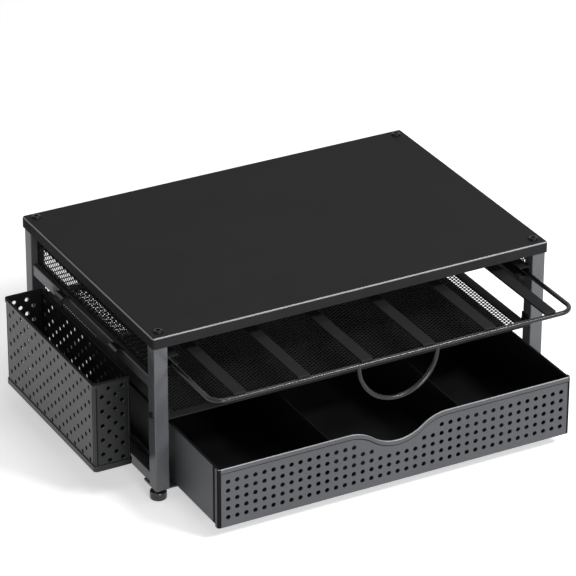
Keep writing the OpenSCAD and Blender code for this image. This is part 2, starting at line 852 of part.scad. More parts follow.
// Folded rim over the walls' top edge, notched where the hooks pass
module basket_rim() {
    low_z = basket_top_z - basket_rim_h;
    color(steel_black) from_middle() difference() {
        translate([0, 0, low_z]) linear_extrude(basket_rim_h) basket_plan(0);
        translate([0, 0, low_z - CUT]) linear_extrude(wall_top_z - low_z + CUT)
            basket_plan(-edge_t);
        translate([0, 0, low_z]) linear_extrude(basket_rim_h + CUT)
            basket_plan(-edge_t - basket_t);
        for (end = [FRONT, REAR]) {
            translate([wall_x_in + 2 * hook_t, basket_y + end * hook_y, basket_top_z])
                cube([4 * hook_t, slot_l, 3 * basket_rim_h], center = true);
        }
    }
}

// Side view of a hook, bent from flat strip: leaf down the wall, arm over the rail, tongue
// down into its slot. x runs out from the stand, y is height.
module hook_profile() {
    leaf_x = -wall_x_in;
    tongue_x = slot_x - hook_t / 2;
    arm_top = hook_arm_z + hook_t;
    bend = hook_t;
    low = hook_arm_z - hook_leaf;
    translate([leaf_x - hook_t, low]) square([hook_t, hook_leaf - bend]);
    translate([tongue_x, hook_arm_z - hook_tongue]) square([hook_t, hook_tongue - bend]);
    translate([tongue_x + hook_t + bend, hook_arm_z])
        square([leaf_x - tongue_x - 2 * (hook_t + bend), hook_t]);
    for (right = [0, 1]) {
        mid_x = right == 1 ? leaf_x - hook_t - bend : tongue_x + hook_t + bend;
        translate([mid_x, arm_top - hook_t - bend]) intersection() {
            difference() {
                circle(hook_t + bend);
                circle(bend);
            }
            translate([right == 1 ? 0 : -3 * bend, 0]) square(3 * bend);
        }
    }
}

module basket_hooks() {
    color(satin_black) from_middle() for (end = [FRONT, REAR]) {
        translate([0, basket_y + end * hook_y + hook_w / 2, 0]) mirror([1, 0, 0])
            rotate([90, 0, 0]) linear_extrude(hook_w) hook_profile();
    }
}

top_plate();
top_screws();
leg_plugs();
leg(LEFT, FRONT);  // leg_front_left
leg(RIGHT, FRONT);  // leg_front_right
leg(LEFT, REAR);  // leg_rear_left
leg(RIGHT, REAR);  // leg_rear_right
top_rail(LEFT);  // top_rail_left
top_rail(RIGHT);  // top_rail_right
mid_rail(LEFT);  // mid_rail_left
mid_rail(RIGHT);  // mid_rail_right
bottom_rail(LEFT);  // bottom_rail_left
bottom_rail(RIGHT);  // bottom_rail_right
rear_crossbar();
foot_plates();
side_mesh(LEFT);  // side_mesh_left
side_mesh(RIGHT);  // side_mesh_right
shelf_frame();
shelf_mesh();
shelf_screws();
shelf_nuts();
rack_rail(LEFT);  // rack_rail_left
rack_rail(RIGHT);  // rack_rail_right
drawer_runner(LEFT);  // drawer_runner_left
drawer_runner(RIGHT);  // drawer_runner_right
foot(LEFT, FRONT);  // foot_front_left
foot(RIGHT, FRONT);  // foot_front_right
foot(LEFT, REAR);  // foot_rear_left
foot(RIGHT, REAR);  // foot_rear_right
rack_wire();
rack_handle();
rack_strip(1);  // rack_strip_1
rack_strip(2);  // rack_strip_2
rack_strip(3);  // rack_strip_3
rack_strip(4);  // rack_strip_4
rack_strip(5);  // rack_strip_5
rack_strip(6);  // rack_strip_6
drawer_front();
drawer_tray();
drawer_divider(LEFT);  // drawer_divider_left
drawer_divider(RIGHT);  // drawer_divider_right
basket_long_wall(wall_x_out, -90);  // basket_outer_wall
basket_long_wall(wall_x_in, 90);  // basket_inner_wall
basket_short_wall(FRONT);  // basket_front_wall
basket_short_wall(REAR);  // basket_rear_wall
basket_corners();
basket_floor();
basket_rim();
basket_hooks();
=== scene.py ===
# Coffee pod drawer: the finished steel of the stand, its wire rack, drawer and basket, put on
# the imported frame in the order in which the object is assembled. Lengths are in metres.
from math import radians

import bmesh
import bpy
from mathutils import Matrix, Vector


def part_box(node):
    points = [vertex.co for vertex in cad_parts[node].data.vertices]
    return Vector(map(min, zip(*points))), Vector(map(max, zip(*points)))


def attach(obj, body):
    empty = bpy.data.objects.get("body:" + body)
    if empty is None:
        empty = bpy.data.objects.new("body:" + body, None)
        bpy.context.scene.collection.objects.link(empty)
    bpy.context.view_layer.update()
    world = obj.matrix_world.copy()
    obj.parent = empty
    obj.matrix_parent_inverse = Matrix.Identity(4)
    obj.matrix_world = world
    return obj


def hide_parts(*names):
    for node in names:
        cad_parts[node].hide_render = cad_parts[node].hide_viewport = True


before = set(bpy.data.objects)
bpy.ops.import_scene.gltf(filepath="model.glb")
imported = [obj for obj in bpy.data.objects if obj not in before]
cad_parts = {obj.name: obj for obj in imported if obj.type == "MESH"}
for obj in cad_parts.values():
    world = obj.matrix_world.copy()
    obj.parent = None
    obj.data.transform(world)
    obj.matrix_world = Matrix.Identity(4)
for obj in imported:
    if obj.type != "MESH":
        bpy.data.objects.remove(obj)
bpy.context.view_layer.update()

# ---- Legs ----
# Four square steel tubes, cut to length and welded to the rails. They carry the top plate.
# Blasted and powder coated after welding, so every edge is a little round.
MM = 0.001
LEG_WALL = 1 * MM
TUBE_EDGE = 0.8 * MM
COAT_GREY_PAINTED_LIT = "#4e4f52"
# Places nearer to each other than this count as one
NEAR = 0.1 * MM


def linear(hex_colour):
    """An sRGB hex colour as the linear colour that Blender works in."""
    parts = [int(hex_colour[i:i + 2], 16) / 255 for i in (1, 3, 5)]
    return [c / 12.92 if c <= 0.04045 else ((c + 0.055) / 1.055) ** 2.4 for c in parts] + [1]


def add_node(tree, kind, values=None, links=None, **settings):
    """Adds a shader node with its settings, its sockets' values and what is linked to them."""
    node = tree.nodes.new("ShaderNode" + kind)
    for name, value in settings.items():
        setattr(node, name, value)
    for name, value in (values or {}).items():
        node.inputs[name].default_value = value
    for name, source in (links or {}).items():
        tree.links.new(source, node.inputs[name])
    return node


def powder_coat(name, colour, roughness, tone, peel, shine):
    """Polyester powder baked on steel: an even colour, a soft broad shine and the fine waves
    of orange peel. tone is how far the film's depth varies, peel how deep the waves are, and
    shine the level of its reflections."""
    material = bpy.data.materials.new(name)
    material.use_nodes = True
    tree = material.node_tree
    coat = tree.nodes["Principled BSDF"]
    coat.inputs["Specular IOR Level"].default_value = shine
    place = add_node(tree, "TexCoord").outputs["Object"]
    # Thick and thin film, patches about 45 mm across
    film = add_node(tree, "TexNoise", {"Scale": 1 / (45 * MM), "Detail": 3, "Roughness": 0.55},
                    {"Vector": place})
    # Orange peel, waves about 0.9 mm apart
    waves = add_node(tree, "TexNoise", {"Scale": 1 / (0.9 * MM), "Detail": 2, "Roughness": 0.5},
                     {"Vector": place})
    # Powder grains that didn't flow out, about 0.25 mm
    grains = add_node(tree, "TexNoise", {"Scale": 1 / (0.25 * MM), "Detail": 1},
                      {"Vector": place})
    base = linear(colour)
    shade = add_node(tree, "ValToRGB", links={"Fac": film.outputs["Fac"]})
    shade.color_ramp.elements[0].position = 0.35
    shade.color_ramp.elements[1].position = 0.65
    shade.color_ramp.elements[0].color = [c * (1 - tone) for c in base[:3]] + [1]
    shade.color_ramp.elements[1].color = [c * (1 + tone) for c in base[:3]] + [1]
    specks = add_node(tree, "MapRange", {"From Min": 0.3, "From Max": 0.7, "To Min": 1 - tone,
                                         "To Max": 1 + tone}, {"Value": grains.outputs["Fac"]})
    mixed = add_node(tree, "VectorMath", links={0: shade.outputs["Color"],
                                                1: specks.outputs["Result"]},
                     operation="MULTIPLY")
    tree.links.new(mixed.outputs["Vector"], coat.inputs["Base Color"])
    gloss = add_node(tree, "MapRange", {"From Min": 0.3, "From Max": 0.7,
                                        "To Min": roughness - 0.05, "To Max": roughness + 0.06},
                     {"Value": film.outputs["Fac"]})
    tree.links.new(gloss.outputs["Result"], coat.inputs["Roughness"])
    height = add_node(tree, "Math", links={0: waves.outputs["Fac"], 1: grains.outputs["Fac"]},
                      operation="ADD")
    relief = add_node(tree, "Bump", {"Strength": peel, "Distance": 0.06 * MM},
                      {"Height": height.outputs["Value"]})
    tree.links.new(relief.outputs["Normal"], coat.inputs["Normal"])
    return material


# Satin powder coat in dark grey, which gives flat tube faces a soft broad shine. The grey is
# painted light: the stand's black coat made lighter for the light that falls on its fronts
satin_coat_painted_lit = powder_coat("satin_powder_coat", COAT_GREY_PAINTED_LIT, roughness=0.3, tone=0.05, peel=0.2,
                         shine=0.5)


def deselect():
    """Leaves nothing selected, in object mode."""
    if bpy.context.object and bpy.context.object.mode != "OBJECT":
        bpy.ops.object.mode_set(mode="OBJECT")
    bpy.ops.object.select_all(action="DESELECT")


def block(name, low, high):
    """A box between two corners, its object at the origin. It is the start of a piece."""
    deselect()
    low, high = Vector(low), Vector(high)
    bpy.ops.mesh.primitive_cube_add(size=1, location=(low + high) / 2)
    piece = bpy.context.object
    piece.name = name
    piece.scale = high - low
    bpy.ops.object.transform_apply(location=True, rotation=True, scale=True)
    return piece


def edit(piece):
    """Opens a piece's mesh for editing, with nothing of it selected."""
    deselect()
    piece.select_set(True)
    bpy.context.view_layer.objects.active = piece
    bpy.ops.object.mode_set(mode="EDIT")
    bpy.ops.mesh.select_all(action="DESELECT")


def pick(piece, kind, test):
    """Selects the vertices, edges or faces of the open piece that pass a test."""
    bpy.ops.mesh.select_mode(type=kind)
    mesh = bmesh.from_edit_mesh(piece.data)
    for part in {"VERT": mesh.verts, "EDGE": mesh.edges, "FACE": mesh.faces}[kind]:
        part.select_set(bool(test(part)))
    mesh.select_flush_mode()
    bmesh.update_edit_mesh(piece.data)


def along(edge, axis):
    """Whether an edge runs along this axis: 0, 1 or 2."""
    way = edge.verts[1].co - edge.verts[0].co
    return abs(way[axis]) > 0.99 * way.length


def modify(piece, kind, **settings):
    """Adds a modifier to a piece and applies it."""
    deselect()
    piece.select_set(True)
    bpy.context.view_layer.objects.active = piece
    modifier = piece.modifiers.new(kind, kind)
    for name, value in settings.items():
        setattr(modifier, name, value)
    bpy.ops.object.modifier_apply(modifier=modifier.name)


def soften(piece, radius, angle=50):
    """Rounds the sharp edges as far as blasting and coating do, and keeps the flats flat."""
    modify(piece, "BEVEL", width=radius, segments=2, limit_method="ANGLE",
           angle_limit=radians(angle), use_clamp_overlap=False)
    bpy.ops.object.shade_smooth_by_angle(angle=radians(60))
    modify(piece, "WEIGHTED_NORMAL", weight=100, keep_sharp=True)


def accent(piece, material, second, test):
    """Gives a second material to the faces whose centre and normal pass a test, and the first
    one to the rest. A later call on the same piece adds a third."""
    if not piece.data.materials:
        piece.data.materials.append(material)
    piece.data.materials.append(second)
    for face in piece.data.polygons:
        if test(face.center, face.normal):
            face.material_index = len(piece.data.materials) - 1


def done(piece, body, material, node):
    """Gives a finished piece its material and its body, and hides the node that it stands for."""
    deselect()
    if not piece.data.materials:
        piece.data.materials.append(material)
    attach(piece, body)
    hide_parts(node)


def square_tube(name, low, high, wall, flare=0):
    """A square tube over the longest side of a box, open at its ends. flare is how far the
    last millimetre of each end spreads, as the ground weld to its neighbour does."""
    piece = block(name, low, high)
    size = Vector(high) - Vector(low)
    axis = max(range(3), key=lambda i: size[i])
    centre = (Vector(low) + Vector(high)) / 2
    edit(piece)
    pick(piece, "EDGE", lambda e: along(e, axis))
    bpy.ops.mesh.bevel(offset=TUBE_EDGE, segments=4, affect="EDGES")
    pick(piece, "FACE", lambda f: abs(f.normal[axis]) > 0.9)
    bpy.ops.mesh.delete(type="FACE")
    if flare:
        way = Vector([1.0 if i == axis else 0.0 for i in range(3)])
        for end in (-1, 1):
            bpy.ops.mesh.select_all(action="SELECT")
            bpy.ops.mesh.bisect(plane_co=centre + way * end * (size[axis] / 2 - 1 * MM),
                                plane_no=way)
        pick(piece, "VERT", lambda v: abs(v.co[axis] - centre[axis]) > size[axis] / 2 - NEAR)
        spread = 1 + flare / (min(s for i, s in enumerate(size) if i != axis) / 2)
        bpy.ops.transform.resize(value=[1 if i == axis else spread for i in range(3)],
                                 center_override=centre)
    bpy.ops.object.mode_set(mode="OBJECT")
    modify(piece, "SOLIDIFY", thickness=wall, offset=-1, use_even_offset=True)
    bpy.ops.object.shade_smooth_by_angle(angle=radians(50))
    modify(piece, "WEIGHTED_NORMAL", weight=100, keep_sharp=True)
    return piece


# The tubes take the satin coat, whose dark grey is painted light
for corner in ("front_left", "front_right", "rear_left", "rear_right"):
    node = "leg_" + corner
    leg = square_tube("leg_tube_" + corner, *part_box(node), LEG_WALL)
    done(leg, "stand", satin_coat_painted_lit, node)

# ---- Rails ----
# Square tubes between the legs, welded on: upper and bottom rails at each side, the middle
# rails that carry the basket's hooks, and the crossbar behind the drawer. The middle rails
# have a slot for each hook, punched before welding.
RAIL_WALL = 1 * MM
RAIL_SOFT = 0.15 * MM
WELD = 0.45 * MM


def skin(node, name):
    """A copy of a CAD node as one skin: its loose triangles merged and its flats joined."""
    deselect()
    piece = bpy.data.objects.new(name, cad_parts[node].data.copy())
    piece.data.materials.clear()
    bpy.context.scene.collection.objects.link(piece)
    edit(piece)
    bpy.ops.mesh.select_all(action="SELECT")
    bpy.ops.mesh.remove_doubles(threshold=0.001 * MM)
    bpy.ops.mesh.dissolve_limited(angle_limit=radians(0.5))
    bpy.ops.object.mode_set(mode="OBJECT")
    return piece


for side in ("left", "right"):
    for level in ("top", "bottom"):
        node = f"{level}_rail_{side}"
        rail = square_tube(f"{level}_rail_tube_{side}", *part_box(node), RAIL_WALL, flare=WELD)
        done(rail, "stand", satin_coat_painted_lit, node)
    node = "mid_rail_" + side
    rail = skin(node, "mid_rail_tube_" + side)
    soften(rail, RAIL_SOFT)
    done(rail, "stand", satin_coat_painted_lit, node)
crossbar = square_tube("rear_crossbar_tube", *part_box("rear_crossbar"), RAIL_WALL)
done(crossbar, "stand", satin_coat_painted_lit, "rear_crossbar")

# ---- Foot plates ----
# Flat steel plates welded under the legs, drilled and tapped for the levelling feet.
# Their cut edges are broken by the blasting, as on all the flat parts of the stand.
EDGE_SOFT = 0.25 * MM

plates = skin("foot_plates", "foot_plates_welded")
soften(plates, EDGE_SOFT)
done(plates, "stand", satin_coat_painted_lit, "foot_plates")

# ---- Side mesh ----
# Expanded steel sheet between the upper and middle rails: slit and pulled into diamonds, so
# that each strand lies at a slant. It is welded in at its plain edge and coated matt black.
COAT_BLACK = "#282829"
SIDE_DIAMOND = 7 * MM, 4.1 * MM
SIDE_STRAND = 0.85 * MM
SIDE_SHEET = 0.6 * MM
SIDE_EDGE = 1.2 * MM
# How far a strand's inner edge stands out of the sheet, as a share of the strand's width, and
# how far the bond at a diamond's ends reaches in, as a share of the diamond's length
TILT = 0.35
BOND = 0.06

# Matt powder coat in black, with hardly any shine and a fine tooth
black_coat = powder_coat("matt_powder_coat", COAT_BLACK, roughness=0.4, tone=0.06, peel=0.25,
                         shine=0.01)


def expanded_sheet(name, width, height, diamond, strand, sheet, edge):
    """Expanded metal in the XY plane about the origin: staggered diamonds whose strands are
    tilted, cut to size, with a plain edge all round."""
    long, short = diamond
    deselect()
    bpy.ops.mesh.primitive_circle_add(vertices=4, radius=0.5, fill_type="NGON")
    piece = bpy.context.object
    piece.name = name
    piece.scale = (long, short, 1)
    bpy.ops.object.transform_apply(location=True, rotation=True, scale=True)
    # Leave a ring of strands, and lift its upper half over its lower half
    edit(piece)
    bpy.ops.mesh.select_all(action="SELECT")
    bpy.ops.mesh.inset(thickness=0.1 * MM)
    opening = 1 - strand * (1 / long ** 2 + 1 / short ** 2) ** 0.5
    pick(piece, "VERT", lambda v: abs(v.co.x) < long * 0.49 and abs(v.co.y) < short * 0.49)
    inner = [v.co.copy() for v in bmesh.from_edit_mesh(piece.data).verts if v.select]
    reach = max(abs(v.x) for v in inner), max(abs(v.y) for v in inner)
    bpy.ops.transform.resize(value=(long / 2 * (opening - BOND) / reach[0],
                                    short / 2 * opening / reach[1], 1),
                             center_override=(0, 0, 0))
    bpy.ops.mesh.select_mode(type="FACE")
    bpy.ops.mesh.delete(type="ONLY_FACE")
    for way in (-1, 1):
        pick(piece, "VERT", lambda v: abs(v.co.x) < long * 0.1
             and 0 < way * v.co.y < short * 0.49)
        bpy.ops.transform.translate(value=(0, 0, way * strand * TILT))
    # The diamond of the next row, half a diamond along
    bpy.ops.mesh.select_all(action="SELECT")
    bpy.ops.mesh.duplicate_move(TRANSFORM_OT_translate={"value": (long / 2, short / 2, 0)})
    bpy.ops.object.mode_set(mode="OBJECT")
    columns, rows = int(width / long) + 2, int(height / short) + 2
    modify(piece, "ARRAY", count=columns, use_relative_offset=False, use_constant_offset=True,
           constant_offset_displace=(long, 0, 0))
    modify(piece, "ARRAY", count=rows, use_relative_offset=False, use_constant_offset=True,
           constant_offset_displace=(0, short, 0))
    edit(piece)
    bpy.ops.mesh.select_all(action="SELECT")
    bpy.ops.transform.translate(value=(-(columns - 0.5) * long / 2, -(rows - 0.5) * short / 2, 0))
    bpy.ops.mesh.remove_doubles(threshold=0.01 * MM)
    for x, y in ((1, 0), (-1, 0), (0, 1), (0, -1)):
        bpy.ops.mesh.select_all(action="SELECT")
        bpy.ops.mesh.bisect(plane_co=(x * (width / 2 - edge / 2), y * (height / 2 - edge / 2), 0),
                            plane_no=(x, y, 0), clear_outer=True)
    bpy.ops.object.mode_set(mode="OBJECT")
    # The plain edge
    border = block(name + "_edge", (-width / 2, -height / 2, -0.1 * MM),
                   (width / 2, height / 2, 0))
    edit(border)
    pick(border, "FACE", lambda f: f.normal.z < 0.9)
    bpy.ops.mesh.delete(type="FACE")
    bpy.ops.mesh.select_all(action="SELECT")
    bpy.ops.mesh.inset(thickness=edge)
    bpy.ops.mesh.delete(type="FACE")
    deselect()
    border.select_set(True)
    piece.select_set(True)
    bpy.context.view_layer.objects.active = piece
    bpy.ops.object.join()
    modify(piece, "SOLIDIFY", thickness=sheet, offset=0, use_even_offset=False)
    bpy.ops.object.shade_smooth_by_angle(angle=radians(30))
    return piece


for side in ("left", "right"):
    node = "side_mesh_" + side
    low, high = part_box(node)
    mesh = expanded_sheet("side_mesh_panel_" + side, high.y - low.y, high.z - low.z,
                          SIDE_DIAMOND, SIDE_STRAND, SIDE_SHEET, SIDE_EDGE)
    mesh.data.transform(Matrix.Translation((low + high) / 2)
                        @ Matrix.Rotation(radians(90), 4, "Z")
                        @ Matrix.Rotation(radians(90), 4, "X"))
    done(mesh, "stand", black_coat, node)

# ---- Rack rails and drawer runners ----
# Channels folded from sheet and welded to the legs' inner faces: a C at each side for the
# wire rack, closed at the rear as its stop, and an L at each side for the drawer. The C
# channels are coated matt black, and the L channels like the tubes.
CHANNEL_SHEET = 1.2 * MM
CHANNEL_BEND = 1.6 * MM


def folded(name, low, high, kept, bend, sheet):
    """A sheet folded round a box. kept names the box's sides that stay, such as '+x'; the
    bends between them are round, and the sheet lies inside the box."""
    piece = block(name, low, high)
    sides = {sign + axis: Vector([(1 if sign == "+" else -1) * (axis == a) for a in "xyz"])
             for sign in "+-" for axis in "xyz"}
    edit(piece)
    pick(piece, "FACE", lambda f: not any(f.normal.dot(sides[k]) > 0.9 for k in kept))
    bpy.ops.mesh.delete(type="FACE")
    pick(piece, "EDGE", lambda e: len(e.link_faces) == 2)
    bpy.ops.mesh.bevel(offset=bend, segments=5, affect="EDGES")
    bpy.ops.object.mode_set(mode="OBJECT")
    modify(piece, "SOLIDIFY", thickness=sheet, offset=-1, use_even_offset=True)
    return piece


for side, outer in (("left", "-x"), ("right", "+x")):
    node = "rack_rail_" + side
    channel = folded("rack_channel_" + side, *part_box(node), (outer, "+z", "-z", "+y"),
                     CHANNEL_BEND, CHANNEL_SHEET)
    soften(channel, EDGE_SOFT)
    done(channel, "stand", black_coat, node)
    node = "drawer_runner_" + side
    runner = folded("drawer_channel_" + side, *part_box(node), (outer, "-z"),
                    CHANNEL_BEND, CHANNEL_SHEET)
    soften(runner, EDGE_SOFT)
    done(runner, "stand", satin_coat_painted_lit, node)

# ---- Shelf ----
# A sheet border with a bent-up tab at each corner, and a finer expanded mesh welded under
# its opening, both matt black. It hangs between the legs on four screws with nuts.
SHELF_DIAMOND = 6 * MM, 3.4 * MM
SHELF_STRAND = 0.9 * MM
SHELF_SHEET = 0.6 * MM
SHELF_EDGE = 4 * MM

border = skin("shelf_frame", "shelf_border")
soften(border, EDGE_SOFT)
done(border, "stand", black_coat, "shelf_frame")
low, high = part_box("shelf_mesh")
mesh = expanded_sheet("shelf_mesh_panel", high.x - low.x, high.y - low.y,
                      SHELF_DIAMOND, SHELF_STRAND, SHELF_SHEET, SHELF_EDGE)
mesh.data.transform(Matrix.Translation((low + high) / 2))
done(mesh, "stand", black_coat, "shelf_mesh")

# ---- Screws, nuts and plugs ----
# Low-headed hex socket screws of blackened steel: four through the top plate into threaded
# plugs in the legs' tops, four through the legs into the shelf's tabs, with plain nuts.
TOP_SHANK = 4 * MM
SHELF_SHANK = 3 * MM
SCREW_SOFT = 0.12 * MM
NUT_SOFT = 0.25 * MM
BLACK_OXIDE = "#1e1e1f"
# The round of a head as a share of its height, and its socket as a share of its width
HEAD_ROUND = 0.8
SOCKET = 0.45
# Degrees between one screw's stop and the next
TOP_TURN = 17
SHELF_TURN = 23


def steel(name, colour, roughness, grain, depth):
    """Steel with a thin finish on it: grain is the size of its mottling in metres, and depth
    how strongly the mottling stands out in relief."""
    material = bpy.data.materials.new(name)
    material.use_nodes = True
    tree = material.node_tree
    metal = tree.nodes["Principled BSDF"]
    metal.inputs["Metallic"].default_value = 1
    place = add_node(tree, "TexCoord").outputs["Object"]
    mottle = add_node(tree, "TexNoise", {"Scale": 1 / grain, "Detail": 4}, {"Vector": place})
    base = linear(colour)
    shade = add_node(tree, "ValToRGB", links={"Fac": mottle.outputs["Fac"]})
    shade.color_ramp.elements[0].position = 0.3
    shade.color_ramp.elements[1].position = 0.7
    shade.color_ramp.elements[0].color = [c * 0.8 for c in base[:3]] + [1]
    shade.color_ramp.elements[1].color = [c * 1.2 for c in base[:3]] + [1]
    tree.links.new(shade.outputs["Color"], metal.inputs["Base Color"])
    gloss = add_node(tree, "MapRange", {"From Min": 0.3, "From Max": 0.7,
                                        "To Min": roughness - 0.06, "To Max": roughness + 0.06},
                     {"Value": mottle.outputs["Fac"]})
    tree.links.new(gloss.outputs["Result"], metal.inputs["Roughness"])
    relief = add_node(tree, "Bump", {"Strength": depth, "Distance": 0.03 * MM},
                      {"Height": mottle.outputs["Fac"]})
    tree.links.new(relief.outputs["Normal"], metal.inputs["Normal"])
    return material


# Black oxide on steel: nearly black, with a low metal shine
black_oxide = steel("black_oxide_steel", BLACK_OXIDE, roughness=0.3, grain=0.8 * MM, depth=0.15)


def socket_screw(name, head_d, head_h, shank_d, length):
    """A low domed screw standing head up, its seat at the origin."""
    deselect()
    bpy.ops.mesh.primitive_cylinder_add(vertices=40, radius=head_d / 2, depth=head_h,
                                        location=(0, 0, head_h / 2))
    piece = bpy.context.object
    piece.name = name
    bpy.ops.object.transform_apply(location=True, rotation=True, scale=True)
    edit(piece)
    pick(piece, "EDGE", lambda e: min(v.co.z for v in e.verts) > head_h * 0.9)
    bpy.ops.mesh.bevel(offset=head_h * HEAD_ROUND, segments=6, affect="EDGES")
    pick(piece, "FACE", lambda f: f.normal.z < -0.9)
    bpy.ops.mesh.inset(thickness=(head_d - shank_d) / 2)
    bpy.ops.mesh.extrude_region_move(TRANSFORM_OT_translate={"value": (0, 0, -length)})
    bpy.ops.object.mode_set(mode="OBJECT")
    deselect()
    bpy.ops.mesh.primitive_cylinder_add(vertices=6, radius=head_d * SOCKET / 2, depth=head_h,
                                        location=(0, 0, head_h))
    socket = bpy.context.object
    modify(piece, "BOOLEAN", object=socket, operation="DIFFERENCE", solver="EXACT")
    bpy.data.objects.remove(socket)
    soften(piece, SCREW_SOFT, angle=40)
    return piece


def corners_of(node):
    """The lowest and highest corner of each of a group's four solids, one in each quarter of
    the group's box, with the signs of x and y in that quarter."""
    low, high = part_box(node)
    centre = (low + high) / 2
    points = [v.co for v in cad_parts[node].data.vertices]
    for i in (-1, 1):
        for j in (-1, 1):
            near = [p for p in points if i * (p.x - centre.x) > 0 and j * (p.y - centre.y) > 0]
            yield i, j, [Vector([end(p[axis] for p in near) for axis in range(3)])
                         for end in (min, max)]


pattern = None
for i, j, (low, high) in corners_of("top_screws"):
    head_h = high.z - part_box("top_plate")[1].z
    if pattern is None:
        pattern = socket_screw("top_screw_pattern", high.x - low.x, head_h, TOP_SHANK,
                               high.z - head_h - low.z)
    screw = bpy.data.objects.new(f"top_screw_{'front' if j < 0 else 'rear'}_"
                                 f"{'left' if i < 0 else 'right'}", pattern.data.copy())
    bpy.context.scene.collection.objects.link(screw)
    # Each screw stopped at its own angle
    screw.data.transform(Matrix.Translation(((low.x + high.x) / 2, (low.y + high.y) / 2,
                                             high.z - head_h))
                         @ Matrix.Rotation(radians(TOP_TURN * (i + 2 * j)), 4, "Z"))
    done(screw, "stand", black_oxide, "top_screws")
bpy.data.objects.remove(pattern)

leg_low, leg_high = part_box("leg_front_left")[0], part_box("leg_front_right")[1]
pattern = None
for i, j, (low, high) in corners_of("shelf_screws"):
    head_h = leg_low.x - low.x if i < 0 else high.x - leg_high.x
    if pattern is None:
        pattern = socket_screw("shelf_screw_pattern", high.z - low.z, head_h, SHELF_SHANK,
                               high.x - low.x - head_h)
    screw = bpy.data.objects.new(f"shelf_screw_{'front' if j < 0 else 'rear'}_"
                                 f"{'left' if i < 0 else 'right'}", pattern.data.copy())
    bpy.context.scene.collection.objects.link(screw)
    seat = Vector((low.x + head_h if i < 0 else high.x - head_h, (low.y + high.y) / 2,
                   (low.z + high.z) / 2))
    screw.data.transform(Matrix.Translation(seat) @ Matrix.Rotation(radians(i * 90), 4, "Y")
                         @ Matrix.Rotation(radians(SHELF_TURN * (i + 2 * j)), 4, "Z"))
    done(screw, "stand", black_oxide, "shelf_screws")
bpy.data.objects.remove(pattern)

nuts = skin("shelf_nuts", "shelf_hex_nuts")
soften(nuts, NUT_SOFT, angle=40)
done(nuts, "stand", black_oxide, "shelf_nuts")
# The plugs keep their own shape, out of sight in the legs, and take the screws' finish
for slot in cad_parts["leg_plugs"].material_slots:
    slot.material = black_oxide

# ---- Feet ----
# A round pad moulded on a threaded steel stud, one under each leg. Turning it levels the
# stand. The pad is dark grey nylon, round-edged above and below, with a short neck.
PAD_H = 7.6 * MM
PAD_EDGE = 1.5 * MM
PAD_RING = 1 * MM
PAD_HOLLOW = 0.4 * MM
PAD_SOFT = 0.15 * MM
NECK_R = 4 * MM
NECK_H = 1.4 * MM
NECK_RING = 0.5 * MM
STUD_R = 2 * MM
THREAD_PITCH = 0.7 * MM
THREAD_ROOT = 0.86 * STUD_R
GREY_NYLON = "#26272a"


def plastic(name, colour, roughness):
    """Moulded nylon: smooth and glossy, with faint flow marks and a fine skin grain."""
    material = bpy.data.materials.new(name)
    material.use_nodes = True
    tree = material.node_tree
    nylon = tree.nodes["Principled BSDF"]
    nylon.inputs["IOR"].default_value = 1.53
    place = add_node(tree, "TexCoord").outputs["Object"]
    flow = add_node(tree, "TexNoise", {"Scale": 1 / (6 * MM), "Detail": 3, "Distortion": 0.6},
                    {"Vector": place})
    base = linear(colour)
    shade = add_node(tree, "ValToRGB", links={"Fac": flow.outputs["Fac"]})
    shade.color_ramp.elements[0].color = [c * 0.9 for c in base[:3]] + [1]
    shade.color_ramp.elements[1].color = [c * 1.1 for c in base[:3]] + [1]
    tree.links.new(shade.outputs["Color"], nylon.inputs["Base Color"])
    skin_grain = add_node(tree, "TexNoise", {"Scale": 1 / (0.3 * MM), "Detail": 2},
                          {"Vector": place})
    gloss = add_node(tree, "MapRange", {"To Min": roughness - 0.04, "To Max": roughness + 0.08},
                     {"Value": skin_grain.outputs["Fac"]})
    tree.links.new(gloss.outputs["Result"], nylon.inputs["Roughness"])
    relief = add_node(tree, "Bump", {"Strength": 0.08, "Distance": 0.02 * MM},
                      {"Height": skin_grain.outputs["Fac"]})
    tree.links.new(relief.outputs["Normal"], nylon.inputs["Normal"])
    return material


# Dark grey nylon, injection moulded, glossy from the mould's polish
grey_nylon = plastic("grey_moulded_nylon", GREY_NYLON, roughness=0.1)


